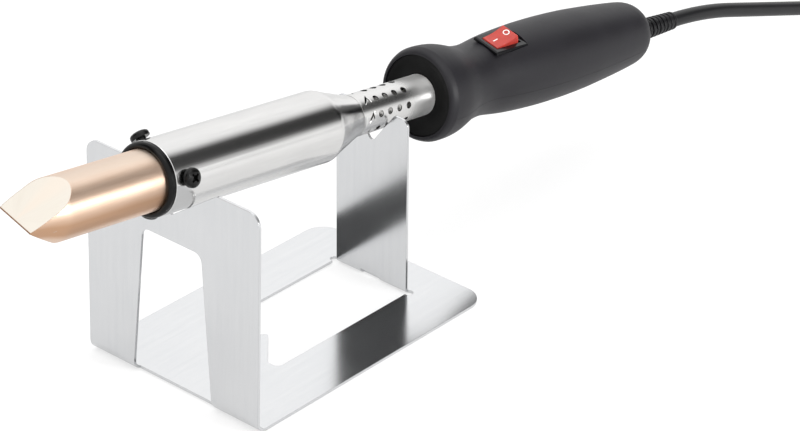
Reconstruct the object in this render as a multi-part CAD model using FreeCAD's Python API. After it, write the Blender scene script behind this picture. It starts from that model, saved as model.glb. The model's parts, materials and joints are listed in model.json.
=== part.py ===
# Bench stand bent from one sheet, with a high-power soldering iron resting in it.
#
# Stand frame (mm): +X across the stand, +Y from the iron's bit to its cable, +Z up.
# The origin lies on the underside of the stand's base, on the centreline, in the
# middle of the solid strip behind the front cradle.
#
# The iron's parts are built about their own y axis, which runs from bit to cable with
# y = 0 at the cradle's outer face and z towards the switch, then placed in the stand.
# Turned outlines are lists of (radius, y).
import FreeCAD, Part
import os
import math

Vec = FreeCAD.Vector
os.makedirs("parts", exist_ok=True)

X_AXIS, Y_AXIS, Z_AXIS = Vec(1, 0, 0), Vec(0, 1, 0), Vec(0, 0, 1)
ORIGIN = Vec(0, 0, 0)

# ------------------------------------------------------------ shared dimensions
CRADLE_Y = -22.0           # outer face of the front cradle, at the base plane

# iron axis in the stand frame
AXIS_X, AXIS_Z = 0.06, 98.66               # where it crosses y = CRADLE_Y
AXIS_SLOPE_X, AXIS_SLOPE_Z = -0.0047, -0.1562  # per unit of travel along +Y
IRON_ROLL = math.radians(13.7)             # switch leans towards +X
BIT_ROLL = math.radians(15.6)
HANDLE_DROOP_DEG = 0.43                    # handle droops a little from the barrel
HANDLE_PIVOT_Y = 120.0

BIT_R = 12.37
BARREL_R, BARREL_BORE_R = 15.05, 14.35
BARREL_FRONT, BARREL_REAR = -9.2, 84.5     # ends of the straight part
CONE_END = 107.0
SLEEVE_R, SLEEVE_BORE_R, SLEEVE_END = 8.36, 7.70, 113.0
CLAMP_Y = -2.9                             # ring of screws that hold the bit
CLAMP_ANGLES = (60.0, -60.0, 180.0)

NECK_R, NECK_BORE_R = 8.83, 8.40
FLANGE_Y, FLANGE_T, FLANGE_R = 157.0, 1.2, 14.0
EARTH_Z = -11.9                            # earth screw, below the neck
TAG_Y = FLANGE_Y + FLANGE_T + 0.04         # front face of the earth eyelet
TAG_T = 0.7

CORE_R, CORE_BORE_R = 10.55, 10.0
MICA_FRONT, MICA_REAR = 12.6, 78.0
WIRE_INNER_R, WIRE_OUTER_R = 10.9, 11.4
SPACER_R = 14.2
LEAD_X, LEAD_R = 4.0, 0.55
LEAD_START = 80.6

DISC_R = 17.4                              # front disc of the handle
DISC_FLANGE_R = DISC_R + 0.9
DISC_FLANGE_FRONT, DISC_FLANGE_REAR = 154.25, 155.75

SWITCH_Y, SWITCH_TOP = 196.7, 17.15
BEZEL_LENGTH, BEZEL_WIDTH, BEZEL_T = 20.8, 13.7, 1.6
ROCKER_PIVOT_Z = 13.4
BLADE_YS = (SWITCH_Y - 6.0, SWITCH_Y, SWITCH_Y + 6.0)

BLOCK_XS = (-7.0, 0.0, 7.0)                # terminal tubes
BLOCK_SCREW_YS = (236.6, 247.4)
CABLE_R = 3.4
CABLE_CLAMP_XS, CABLE_CLAMP_Y = (-7.2, 7.2), 274.0


# ------------------------------------------------------------ solid helpers
def bar(radius, y0, y1, x=0.0, z=0.0):
    """Cylinder along y."""
    return Part.makeCylinder(radius, y1 - y0, Vec(x, y0, z), Y_AXIS)


def post(radius, x, y, z0, z1):
    """Cylinder along z."""
    return Part.makeCylinder(radius, z1 - z0, Vec(x, y, z0), Z_AXIS)


def cross_bar(radius, x0, x1, y, z):
    """Cylinder along x."""
    return Part.makeCylinder(radius, x1 - x0, Vec(x0, y, z), X_AXIS)


def tube(outer_r, inner_r, y0, y1, x=0.0):
    return bar(outer_r, y0, y1, x).cut(bar(inner_r, y0 - 1, y1 + 1, x))


def box(x0, x1, y0, y1, z0, z1):
    return Part.makeBox(x1 - x0, y1 - y0, z1 - z0, Vec(x0, y0, z0))


def cross_recess(x, y, length, width, z0, z1):
    half_l, half_w = length / 2, width / 2
    return (box(x - half_l, x + half_l, y - half_w, y + half_w, z0, z1)
            .fuse(box(x - half_w, x + half_w, y - half_l, y + half_l, z0, z1)))


def radial(angle):
    """Unit vector square to the y axis, angle in degrees from +z towards +x."""
    turn = math.radians(angle)
    return Vec(math.sin(turn), 0, math.cos(turn))


def spoke(radius, y, angle, r0, r1):
    """Cylinder pointing out from the y axis, from radius r0 to r1."""
    out = radial(angle)
    return Part.makeCylinder(radius, r1 - r0, Vec(0, y, 0) + out * r0, out)


def filled(points):
    return Part.Face(Part.makePolygon(points + points[:1]))


def flat(outline):
    return [Vec(r, y, 0) for r, y in outline]


def path(outline):
    """Straight edges through (radius, y) points."""
    return Part.makePolygon(flat(outline)).Edges


def spline(points, **tangents):
    curve = Part.BSplineCurve()
    curve.interpolate(Points=points, **tangents)
    return curve.toShape()


def arc(start, middle, end):
    return Part.Arc(start, middle, end).toShape()


def face_within(edges):
    return Part.Face(Part.Wire(Part.__sortEdges__(edges)))


def turned(outline):
    """Solid turned about y from a closed (radius, y) polygon."""
    return filled(flat(outline)).revolve(ORIGIN, Y_AXIS, 360)


def revolved(edges):
    """Solid turned about y from edges that close an outline."""
    return face_within(edges).revolve(ORIGIN, Y_AXIS, 360)


def corner_arc(corner, back, ahead, setback):
    """Start, middle and end of the arc that eases a corner, back and ahead being units."""
    half_angle = back.getAngle(ahead) / 2
    radius = setback * math.tan(half_angle)
    bisector = (back + ahead).normalize()
    centre = corner + bisector * (radius / math.sin(half_angle))
    return corner + back * setback, centre - bisector * radius, corner + ahead * setback


def round_wire(points, radius):
    """Round wire swept through points, each corner eased with an arc."""
    max_setback, max_share = 2.2, 0.42     # share of the shorter leg
    edges = []
    start = points[0]
    for before, corner, after in zip(points, points[1:], points[2:]):
        back, ahead = before - corner, after - corner
        setback = min(max_setback, max_share * back.Length, max_share * ahead.Length)
        back.normalize()
        ahead.normalize()
        if back.getAngle(ahead) > math.pi - 1e-4:
            continue
        arc_start, middle, arc_end = corner_arc(corner, back, ahead, setback)
        edges.append(Part.makeLine(start, arc_start))
        edges.append(arc(arc_start, middle, arc_end))
        start = arc_end
    edges.append(Part.makeLine(start, points[-1]))
    circle = Part.Wire([Part.makeCircle(radius, points[0], points[1] - points[0])])
    return Part.Wire(edges).makePipeShell([circle], True, False)


def plate_xy(corners, radii, z0, z1):
    """Plate from (x, y) corners, each with its own radius."""
    points = [Vec(x, y, z0) for x, y in corners]
    count = len(points)
    bends = []
    for i, (corner, radius) in enumerate(zip(points, radii)):
        if radius <= 0:
            bends.append((corner, None, corner))
            continue
        back = (points[i - 1] - corner).normalize()
        ahead = (points[(i + 1) % count] - corner).normalize()
        setback = radius / math.tan(back.getAngle(ahead) / 2)
        bends.append(corner_arc(corner, back, ahead, setback))
    edges = []
    for i, (start, middle, end) in enumerate(bends):
        if middle is not None:
            edges.append(arc(start, middle, end))
        next_start = bends[(i + 1) % count][0]
        if (next_start - end).Length > 1e-6:
            edges.append(Part.makeLine(end, next_start))
    return face_within(edges).extrude(Vec(0, 0, z1 - z0))


def plate_xz(corners, radii, y0, y1):
    """Plate from (x, z) corners, each with its own radius."""
    plate = plate_xy(corners, radii, 0, y1 - y0)
    plate.rotate(ORIGIN, X_AXIS, 90)       # XY -> XZ, extrusion runs to -Y
    plate.translate(Vec(0, y1, 0))
    return plate


def placed(shape, frame):
    moved = shape.copy()
    moved.Placement = frame.multiply(moved.Placement)
    return moved


# ------------------------------------------------------------ frames
AXIS_DIR = Vec(AXIS_SLOPE_X, 1.0, AXIS_SLOPE_Z).normalize()
ACROSS = (X_AXIS - AXIS_DIR * AXIS_DIR.x).normalize()
RISE = ACROSS.cross(AXIS_DIR)


def rolled_frame(roll):
    """Frame on the iron's axis, rolled so that its z leans towards +X."""
    side = ACROSS * math.cos(roll) - RISE * math.sin(roll)
    top = RISE * math.cos(roll) + ACROSS * math.sin(roll)
    return FreeCAD.Placement(FreeCAD.Matrix(
        side.x, AXIS_DIR.x, top.x, AXIS_X,
        side.y, AXIS_DIR.y, top.y, CRADLE_Y,
        side.z, AXIS_DIR.z, top.z, AXIS_Z,
        0, 0, 0, 1))


STAND_FRAME = FreeCAD.Placement()
IRON_FRAME = rolled_frame(IRON_ROLL)
BIT_FRAME = rolled_frame(BIT_ROLL)
DROOP = FreeCAD.Placement(ORIGIN, FreeCAD.Rotation(X_AXIS, -HANDLE_DROOP_DEG),
                          Vec(0, HANDLE_PIVOT_Y, 0))
HANDLE_FRAME = IRON_FRAME.multiply(DROOP)


def from_handle(x, y, z):
    """Handle-frame point given in the iron frame."""
    return DROOP.multVec(Vec(x, y, z))


# The cable leaves the handle a little under the axis, pointing a little up from it:
# it bends down, then back up, on arcs of one radius.
EXIT_START, EXIT_BEND_R = 278.5, 18.2
EXIT_DOWN_DEG, EXIT_UP_DEG = 17.2, 18.0
EXIT_RISE_DEG = EXIT_UP_DEG - EXIT_DOWN_DEG
EXIT_Y = EXIT_START + EXIT_BEND_R * (2 * math.sin(math.radians(EXIT_DOWN_DEG))
                                     + math.sin(math.radians(EXIT_RISE_DEG)))
EXIT_Z = -EXIT_BEND_R * (1 + math.cos(math.radians(EXIT_RISE_DEG))
                         - 2 * math.cos(math.radians(EXIT_DOWN_DEG)))
EXIT = FreeCAD.Placement(Vec(0, EXIT_Y, EXIT_Z), FreeCAD.Rotation(X_AXIS, EXIT_RISE_DEG))
BOOT_FRAME = HANDLE_FRAME.multiply(EXIT)

# ------------------------------------------------------------ stand
# built with y = 0 at the cradle's outer face, then moved to CRADLE_Y
SHEET_T = 1.1
BASE_HALF, BASE_LENGTH, BASE_CORNER_R = 46.7, 138.3, 10.0
FRONT_LEAN, FRONT_BEND_R = math.radians(1.67), 4.8     # outer bend radius
FRONT_TOP = 96.6
FRONT_NOTCH = (79.55, 0.70)                # sharp vertex height, rise per run of flanks
FRONT_RADII = (6.0, 3.0, 1.2)              # top corner, notch shoulder, notch bottom
ARCH_HALF_LOW, ARCH_HALF_HIGH = 22.1, 16.0
ARCH_TOP, ARCH_CORNER_R = 68.2, 4.0
TONGUE_X = -0.5                            # centre of rear upright and window
REAR_Y, REAR_BEND_R = 118.5, 2.3           # front face of the rear upright
REAR_HALF, REAR_TOP = 19.5, 81.5
REAR_NOTCH = (65.0, 1.351)
REAR_RADII = (3.6, 1.6, 1.9)
WINDOW_HALF, WINDOW_FRONT = 20.5, 39.9
TAB_RISE = 14.9                            # depth of the pointed cut-in at the window's front
RELIEF_R = 1.95


def folded_strip(face_y, bend_r, lean, top, base_end, centre_x, half_width):
    """Sheet that runs forward along the base and folds up into a plate."""
    centre = Vec(0, face_y + bend_r * (1 + math.sin(lean)) / math.cos(lean), bend_r)
    # outer normal of the plate points to -Y and, where it leans, slightly up
    low = math.radians(-90)
    high = math.atan2(math.sin(lean), -math.cos(lean))
    middle = (low + high - 2 * math.pi) / 2

    def bend_points(radius):
        return [centre + Vec(0, math.cos(angle), math.sin(angle)) * radius
                for angle in (low, middle, high)]

    outer, inner = bend_points(bend_r), bend_points(bend_r - SHEET_T)
    rise = Vec(0, math.sin(lean), math.cos(lean))
    rise = rise * ((top - outer[2].z) / rise.z)
    outer_tip, inner_tip = outer[2] + rise, inner[2] + rise
    end_low, end_high = Vec(0, base_end, 0), Vec(0, base_end, SHEET_T)
    face = face_within([
        Part.makeLine(end_low, outer[0]),
        arc(*outer),
        Part.makeLine(outer[2], outer_tip),
        Part.makeLine(outer_tip, inner_tip),
        Part.makeLine(inner_tip, inner[2]),
        arc(*reversed(inner)),
        Part.makeLine(inner[0], end_high),
        Part.makeLine(end_high, end_low)])
    face.translate(Vec(centre_x - half_width, 0, 0))
    return face.extrude(Vec(2 * half_width, 0, 0))


def notched_outline(centre_x, half_width, top, notch, radii, y0, y1):
    """Upright blank with rounded top corners and a V notch."""
    bottom, slope = notch
    corner_r, shoulder_r, bottom_r = radii
    notch_half = (top - bottom) / slope
    left, right = centre_x - half_width, centre_x + half_width
    corners = [(left, -5), (right, -5), (right, top), (centre_x + notch_half, top),
               (centre_x, bottom), (centre_x - notch_half, top), (left, top)]
    return plate_xz(corners, [0, 0, corner_r, shoulder_r, bottom_r, shoulder_r, corner_r],
                    y0, y1)


def arch_cutter(y1):
    corners = [(-ARCH_HALF_LOW, -2), (ARCH_HALF_LOW, -2),
               (ARCH_HALF_HIGH, ARCH_TOP), (-ARCH_HALF_HIGH, ARCH_TOP)]
    return plate_xz(corners, [0, 0, ARCH_CORNER_R, ARCH_CORNER_R], -5, y1)


def window_cutter():
    """Opening left by the rear upright; its front end mirrors the upright's tip."""
    left, right = TONGUE_X - WINDOW_HALF, TONGUE_X + WINDOW_HALF
    point_half = TAB_RISE / REAR_NOTCH[1] + 0.6 + 3.2
    rear = REAR_Y + 0.6
    corners = [(left, WINDOW_FRONT), (TONGUE_X - point_half, WINDOW_FRONT),
               (TONGUE_X, WINDOW_FRONT + TAB_RISE + 1.0),
               (TONGUE_X + point_half, WINDOW_FRONT), (right, WINDOW_FRONT),
               (right, rear), (left, rear)]
    return plate_xy(corners, [3.0, 1.6, 1.3, 1.6, 3.0, 0, 0], -5, 5)


def base_and_cradle():
    sheet = folded_strip(0, FRONT_BEND_R, FRONT_LEAN, FRONT_TOP, BASE_LENGTH, 0, BASE_HALF)
    # rounded rear corners of the base
    sheet = sheet.common(plate_xy(
        [(-BASE_HALF, -5), (BASE_HALF, -5), (BASE_HALF, BASE_LENGTH), (-BASE_HALF, BASE_LENGTH)],
        [0, 0, BASE_CORNER_R, BASE_CORNER_R], -5, 120))
    cradle = notched_outline(0, BASE_HALF, FRONT_TOP, FRONT_NOTCH, FRONT_RADII, -5, 12)
    # leaves the base behind the cradle whole
    cradle = cradle.fuse(box(-BASE_HALF - 5, BASE_HALF + 5, 11.9, BASE_LENGTH + 5, -5, 30))
    sheet = sheet.common(cradle)
    # the plate leans back, so the upper part of the arch is cut deeper than its foot
    sheet = sheet.cut(arch_cutter(3.6))
    sheet = sheet.cut(arch_cutter(10).common(box(-60, 60, -6, 12, 3.0, 100)))
    sheet = sheet.cut(window_cutter())
    # round reliefs at the ends of the rear fold
    relief_x = REAR_HALF + RELIEF_R - 0.55
    for x in (TONGUE_X - relief_x, TONGUE_X + relief_x):
        sheet = sheet.cut(post(RELIEF_R, x, REAR_Y + REAR_BEND_R - RELIEF_R, -5, 5))
    # gap under the rear upright's bend
    return sheet.cut(box(TONGUE_X - REAR_HALF, TONGUE_X + REAR_HALF,
                         REAR_Y - 1, REAR_Y + REAR_BEND_R, -5, 5))


def rear_upright():
    fold_end = REAR_Y + REAR_BEND_R
    tongue = folded_strip(REAR_Y, REAR_BEND_R, 0.0, REAR_TOP, fold_end + 1.0,
                          TONGUE_X, REAR_HALF)
    tongue = tongue.common(notched_outline(TONGUE_X, REAR_HALF, REAR_TOP, REAR_NOTCH,
                                           REAR_RADII, REAR_Y - 5, REAR_Y + 10))
    # bending slot near the middle of the fold
    return tongue.cut(box(-6.3, 4.1, REAR_Y - 2, fold_end, -2, 2.35))


def stand_plate():
    stand = base_and_cradle().fuse(rear_upright()).removeSplitter()
    stand.translate(Vec(0, CRADLE_Y, 0))
    return stand


# ------------------------------------------------------------ bit
# turned taper from the edge back to the full radius, (radius, y)
BIT_TAPER = [(8.6, -78.0), (9.02, -75.8), (9.44, -73.5), (9.90, -71.6), (10.35, -69.6),
             (11.0, -67.4), (11.72, -64.9), (12.26, -62.2), (BIT_R, -60.4)]


def copper_bit():
    bevel, edge_half = math.radians(29.2), 0.55 / 2
    shank_r, shank_front, shank_end = 9.9, 6.0, 72.0
    end_chamfer = 1.0
    edge_r, edge_y = BIT_TAPER[0]
    body = revolved(
        path([(0, edge_y), (edge_r, edge_y)]) + [spline(flat(BIT_TAPER))]
        + path([BIT_TAPER[-1], (BIT_R, shank_front), (shank_r, shank_front),
                (shank_r, shank_end - end_chamfer), (shank_r - end_chamfer, shank_end),
                (0, shank_end), (0, edge_y)]))
    # two ground bevels meet in the chisel edge
    bevel_end, beyond = edge_y + 60, shank_end + 5
    far = 60 * math.tan(bevel) + edge_half
    side = [(edge_y, edge_half), (bevel_end, far), (beyond, far),
            (beyond, -far), (bevel_end, -far), (edge_y, -edge_half)]
    wedge = filled([Vec(-20, y, z) for y, z in side]).extrude(Vec(40, 0, 0))
    return body.common(wedge).removeSplitter()


# ------------------------------------------------------------ mouth ring and screws
def mouth_ring():
    outer_r, bore_r, front, rear = 14.95, 12.47, -12.2, 5.0
    rounding = 1.5
    spigot_r = BARREL_BORE_R - 0.05
    shoulder_y = BARREL_FRONT - 0.02
    outline = [(bore_r, front + 0.7), (bore_r + 0.35, front + 0.18), (bore_r + 0.9, front)]
    for step in range(1, 7):
        angle = math.radians(15 * step)
        outline.append((outer_r - rounding + rounding * math.sin(angle),
                        front + rounding - rounding * math.cos(angle)))
    outline += [(outer_r, BARREL_FRONT - 0.5), (outer_r - 0.3, shoulder_y),
                (spigot_r, shoulder_y), (spigot_r, rear), (bore_r, rear)]
    ring = turned(outline)
    for angle in CLAMP_ANGLES:
        ring = ring.cut(spoke(2.0, CLAMP_Y, angle, 8, 20))
    return ring


# deep pan head, (radius, z): flat under face, domed top
PAN_HEAD = [(0, -0.25), (3.75, -0.25), (3.95, -0.02), (3.95, 1.05), (3.8, 1.6),
            (3.3, 2.05), (2.4, 2.4), (1.2, 2.55), (0, 2.6)]


def bit_clamp_screws():
    head_base = BARREL_R + 1.40            # backed out far enough to free the bit
    head = filled([Vec(r, 0, z) for r, z in PAN_HEAD]).revolve(ORIGIN, Z_AXIS, 360)
    recess = cross_recess(0, 0, 4.3, 0.95, 1.15, 4.15)
    recess = recess.fuse(Part.makeCone(0.6, 1.25, 1.9, Vec(0, 0, 0.9)))
    recess.rotate(ORIGIN, Z_AXIS, 38)
    head = head.cut(recess)
    screws = []
    for angle in CLAMP_ANGLES:
        out = radial(angle)
        seat = FreeCAD.Placement(Vec(0, CLAMP_Y, 0) + out * head_base,
                                 FreeCAD.Rotation(Z_AXIS, out))
        shank = spoke(1.95, CLAMP_Y, angle, BIT_R + 0.06, head_base)
        screws.append(shank.fuse(placed(head, seat)).removeSplitter())
    return Part.makeCompound(screws)


# ------------------------------------------------------------ barrel
def barrel():
    """One flowing outer line: cylinder, rounded shoulder, cone, foot, sleeve."""
    foot_end = CONE_END + 1.2
    shoulder = spline(
        flat([(BARREL_R, BARREL_REAR), (BARREL_R - 0.42, BARREL_REAR + 2.2),
              (BARREL_R - 1.25, BARREL_REAR + 4.6), (BARREL_R - 3.3, BARREL_REAR + 11.2),
              (SLEEVE_R + 1.25, CONE_END - 4.2), (SLEEVE_R + 0.33, CONE_END - 1.0),
              (SLEEVE_R, foot_end)]),
        InitialTangent=Y_AXIS, FinalTangent=Y_AXIS)
    shell = revolved([shoulder] + path([
        (SLEEVE_R, foot_end), (SLEEVE_R, SLEEVE_END), (SLEEVE_BORE_R, SLEEVE_END),
        (SLEEVE_BORE_R, CONE_END + 0.4), (SLEEVE_BORE_R + 0.55, CONE_END - 2.2),
        (BARREL_R - 4.3, BARREL_REAR + 11.2), (BARREL_R - 2.1, BARREL_REAR + 4.6),
        (BARREL_BORE_R - 0.5, BARREL_REAR + 2.0), (BARREL_BORE_R, BARREL_REAR - 0.3),
        (BARREL_BORE_R, BARREL_FRONT), (BARREL_R - 0.15, BARREL_FRONT),
        (BARREL_R, BARREL_FRONT + 0.2), (BARREL_R, BARREL_REAR)]))
    for angle in CLAMP_ANGLES:
        shell = shell.cut(spoke(2.1, CLAMP_Y, angle, 8, 20))
    return shell


# ------------------------------------------------------------ neck tube
VENT_R, VENT_COLUMNS, VENT_FIRST_DEG = 1.45, 8, 18.3
VENT_YS = (115.8, 121.5, 127.3, 133.1)
CRIMP_COUNT, CRIMP_FIRST_DEG = 7, 14
# creases of one crimp: slant in degrees from the axis, y, depth, cutter radius
CREASES = ((52, CONE_END + 3.3, 0.31, 0.8), (-68, CONE_END + 4.6, 0.22, 0.6))


def neck_tube():
    lip_y, flange_rear = CONE_END - 1.5, FLANGE_Y + FLANGE_T
    # its thin front lip is rolled down onto the foot of the barrel's cone
    neck = turned([
        (NECK_BORE_R, CONE_END + 2.0), (SLEEVE_R + 0.06, CONE_END + 0.7),
        (SLEEVE_R + 0.33, CONE_END - 0.86), (SLEEVE_R + 0.52, lip_y), (SLEEVE_R + 0.60, lip_y),
        (NECK_R - 0.03, CONE_END - 0.4), (NECK_R, CONE_END + 0.6), (NECK_R, FLANGE_Y),
        (FLANGE_R, FLANGE_Y), (FLANGE_R, flange_rear), (NECK_BORE_R, flange_rear)])
    for column in range(VENT_COLUMNS):
        for y in VENT_YS:
            neck = neck.cut(spoke(VENT_R, y, VENT_FIRST_DEG + 360 / VENT_COLUMNS * column, 6, 12))
    # slanting crimp creases that lock the neck onto the barrel's sleeve
    for crimp in range(CRIMP_COUNT):
        out = radial(360.0 * crimp / CRIMP_COUNT + CRIMP_FIRST_DEG)
        side = out.cross(Y_AXIS)
        for slant_deg, y, depth, radius in CREASES:
            slant = math.radians(slant_deg)
            along = Y_AXIS * math.cos(slant) + side * math.sin(slant)
            centre = Vec(0, y, 0) + out * (NECK_R + radius - depth)
            neck = neck.cut(Part.makeCylinder(radius, 16, centre - along * 8, along))
    # hole for the earth screw in the flange
    neck = neck.cut(bar(1.4, FLANGE_Y - 1, FLANGE_Y + 2, 0, EARTH_Z))
    return neck.removeSplitter()


# ------------------------------------------------------------ heater
def heater_core_tube():
    front, flange_rear, rear, flange_r = 7.0, 8.0, 80.0, 14.25
    return turned([(CORE_BORE_R, front), (CORE_BORE_R, rear), (CORE_R, rear),
                   (CORE_R, flange_rear), (flange_r, flange_rear), (flange_r, front)])


def mica_inner_sleeve():
    return tube(10.85, CORE_R + 0.02, MICA_FRONT, MICA_REAR)


def mica_outer_sleeve():
    return tube(11.75, WIRE_OUTER_R + 0.05, MICA_FRONT, MICA_REAR)


def front_spacer_ring():
    return tube(SPACER_R, CORE_R + 0.05, 8.05, 12.5)


def rear_insulator_disc():
    disc = bar(SPACER_R, 80.05, 84.0)
    for x in (-LEAD_X, LEAD_X):
        disc = disc.cut(bar(0.95, 79, 85, x))
    back = tube(SPACER_R, CORE_R + 0.05, 78.1, 80.1).fuse(disc)
    for x in (-LEAD_X, LEAD_X):            # slots above the lead holes
        back = back.cut(box(x - 0.95, x + 0.95, 77, 83, 3.0, 12.3))
    return back.removeSplitter()


def heater_winding():
    pitch, turns, strip_half = 5.0, 12, 0.8
    helix = Part.makeHelix(pitch, pitch * turns, (WIRE_INNER_R + WIRE_OUTER_R) / 2)
    section = [Vec(WIRE_INNER_R, 0, -strip_half), Vec(WIRE_OUTER_R, 0, -strip_half),
               Vec(WIRE_OUTER_R, 0, strip_half), Vec(WIRE_INNER_R, 0, strip_half)]
    strip = Part.makePolygon(section + section[:1])
    coil = Part.Wire(helix.Edges).makePipeShell([strip], True, True)
    coil.rotate(ORIGIN, X_AXIS, -90)
    coil.translate(Vec(0, 14.5, 0))
    return coil


# ------------------------------------------------------------ leads
def lead_insulators():
    return Part.makeCompound([bar(1.7, 84.3, 154.0, x).cut(bar(0.8, 80, 160, x))
                              for x in (-LEAD_X, LEAD_X)])


def neutral_lead():
    return round_wire([Vec(-LEAD_X, LEAD_START, 0), Vec(-LEAD_X, 163.0, 0),
                       from_handle(-8.7, 184, -2.4), from_handle(-8.7, 226, -2.4),
                       from_handle(-7.0, 231.5, 0), from_handle(-7.0, 238.5, 0)], LEAD_R)


def live_lead():
    return round_wire([Vec(LEAD_X, LEAD_START, 0), Vec(LEAD_X, 163.0, 0),
                       from_handle(4.6, 184, -8.2), from_handle(4.6, SWITCH_Y - 3.0, -8.2),
                       from_handle(3.05, SWITCH_Y, -5.0)], LEAD_R)


def switch_feed_wire():
    return round_wire([Vec(3.05, SWITCH_Y + 6.0, -5.0), Vec(5.2, SWITCH_Y + 10.5, -8.0),
                       Vec(8.7, 216.0, -5.0), Vec(8.7, 226.0, -2.4),
                       Vec(7.0, 231.5, 0), Vec(7.0, 238.5, 0)], LEAD_R)


def earth_lead():
    """Eyelet on the neck's flange, tail turned back over the screw, wire to the block."""
    tag_rear, tail_top = TAG_Y + TAG_T, EARTH_Z + 2.75
    wire_z = EARTH_Z + 2.6
    eyelet = bar(2.6, TAG_Y, tag_rear, 0, EARTH_Z).cut(bar(1.35, 150, 170, 0, EARTH_Z))
    tail = (box(-1.0, 1.0, TAG_Y, tag_rear, EARTH_Z + 1.7, tail_top)
            .fuse(box(-1.0, 1.0, TAG_Y, TAG_Y + 4.0, EARTH_Z + 2.1, tail_top)))
    wire = round_wire([Vec(0, TAG_Y + 3.0, wire_z), Vec(0, TAG_Y + 7.0, wire_z),
                       from_handle(0, 171.5, -10.6), from_handle(0, 224.0, -10.6),
                       from_handle(0, 230.5, 0), from_handle(0, 238.5, 0)], LEAD_R)
    return eyelet.fuse(tail).fuse(wire).removeSplitter()


def earth_screw():
    screw = (bar(1.25, FLANGE_Y - 0.1, TAG_Y + 0.8, 0, EARTH_Z)
             .fuse(bar(2.0, TAG_Y + 0.73, TAG_Y + 2.1, 0, EARTH_Z)))
    slot = box(-2.5, 2.5, TAG_Y + 1.5, TAG_Y + 3, EARTH_Z - 0.3, EARTH_Z + 0.3)
    return screw.cut(slot).removeSplitter()


# ------------------------------------------------------------ handle shells
HANDLE_FRONT, HANDLE_END = 148.5, 301.0
NOSE_R, NOSE_END = 20.27, 153.4
REAR_WALL_Y = 290.4
WALL = 2.6
SEAM_GAP, SEAM_DEPTH = 0.10, 0.16          # parting line between the shells
# outer line behind the nose, (radius, y)
HANDLE_LINE = [
    (20.27, 155.0), (20.13, 157.5), (19.86, 160.0), (19.27, 163.0), (18.44, 166.0),
    (17.69, 168.5), (16.86, 171.3), (16.27, 174.3), (15.9, 177.4), (15.71, 180.2),
    (15.76, 184.0), (16.14, 188.0), (16.6, 191.5), (17.33, 198.0), (17.85, 205.0),
    (18.22, 212.0), (18.48, 219.0), (18.59, 226.0), (18.58, 233.0), (18.47, 240.0),
    (18.24, 247.0), (17.91, 254.0), (17.5, 259.8), (17.06, 265.6), (16.6, 271.3),
    (16.07, 277.1), (15.5, 282.9), (14.89, 288.3), (14.4, 291.6), (13.62, 294.3),
    (12.40, 296.6), (10.69, 298.6), (8.72, 299.9), (6.6, 300.6)]
# handle screws: x, y, z of the head's seat
HANDLE_SCREWS = [(-9.6, 166.4, -12.2), (9.6, 166.4, -12.2), (-8.2, 286.0, -8.6), (8.2, 286.0, -8.6)]


def handle_body():
    """The handle's outer form, solid."""
    nose_start = (18.25, HANDLE_FRONT)
    nose = spline(flat([nose_start, (19.10, 149.1), (19.64, 150.0), (20.02, 151.1),
                        (NOSE_R, NOSE_END)]),
                  InitialTangent=Vec(1, 0.3, 0), FinalTangent=Y_AXIS)
    line = spline(flat([(NOSE_R, NOSE_END)] + HANDLE_LINE))
    return revolved(path([(0, HANDLE_FRONT), nose_start]) + [nose, line]
                    + path([HANDLE_LINE[-1], (4.6, HANDLE_END), (0, HANDLE_END),
                            (0, HANDLE_FRONT)]))


def handle_cavity():
    mouth_y, mouth_r, gap, hub_r = HANDLE_FRONT - 1, DISC_R + 0.08, 0.1, 11.2
    disc_r = DISC_FLANGE_R + gap
    disc_front, disc_rear = DISC_FLANGE_FRONT - gap, DISC_FLANGE_REAR + gap
    flange_r = FLANGE_R + 0.45
    flange_front, flange_rear = FLANGE_Y - 0.2, FLANGE_Y + FLANGE_T + 0.22
    inner_line = [(r - WALL, y) for r, y in HANDLE_LINE if 161.0 < y < REAR_WALL_Y]
    # mouth, groove for the front disc, groove for the neck's flange, main room
    outline = [(0, mouth_y), (mouth_r, mouth_y), (mouth_r, disc_front), (disc_r, disc_front),
               (disc_r, disc_rear), (hub_r, disc_rear), (hub_r, flange_front),
               (flange_r, flange_front), (flange_r, flange_rear), (hub_r, flange_rear),
               (hub_r, 159.9), (16.4, 159.9)]
    outline += inner_line
    outline += [(inner_line[-1][0] - 0.2, REAR_WALL_Y), (0, REAR_WALL_Y)]
    # then the boot's collar seat and the cable's way out
    return (turned(outline).fuse(placed(bar(4.9, 0.0, 3.7), EXIT))
            .fuse(placed(bar(4.35, 3.0, 16.0), EXIT)))


def half_shell(body, z0, z1):
    return body.cut(handle_cavity()).common(box(-30, 30, 140, 320, z0, z1))


def seam_groove(body):
    """Thin band of the outer skin at the parting plane."""
    front = HANDLE_FRONT + 0.01
    rim = (20.3 - SEAM_DEPTH, NOSE_END)
    floor = [rim] + [(r - SEAM_DEPTH, y) for r, y in HANDLE_LINE]
    inside = revolved(path([(0, front), (18.3, front), rim]) + [spline(flat(floor))]
                      + path([floor[-1], (0, floor[-1][1]), (0, front)]))
    return box(-30, 30, 152.5, 300.2, -SEAM_GAP / 2, SEAM_GAP / 2).common(body.cut(inside))


def handle_upper_shell():
    body = handle_body()
    half_w, half_l = BEZEL_WIDTH / 2 + 0.12, BEZEL_LENGTH / 2 + 0.12
    bezel_pocket = box(-half_w, half_w, SWITCH_Y - half_l, SWITCH_Y + half_l,
                       SWITCH_TOP - BEZEL_T - 0.02, 30)
    housing_hole = box(-6.2, 6.2, SWITCH_Y - 9.1, SWITCH_Y + 9.1, 0.5, 30)
    upper = half_shell(body, 0, 30).cut(bezel_pocket).cut(housing_hole)
    for x, y, _ in HANDLE_SCREWS:
        upper = upper.fuse(post(3.1, x, y, 0.0, 25).common(body))
        upper = upper.cut(post(1.52, x, y, -1, 6.5))
    return upper.cut(seam_groove(body)).removeSplitter()


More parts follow.
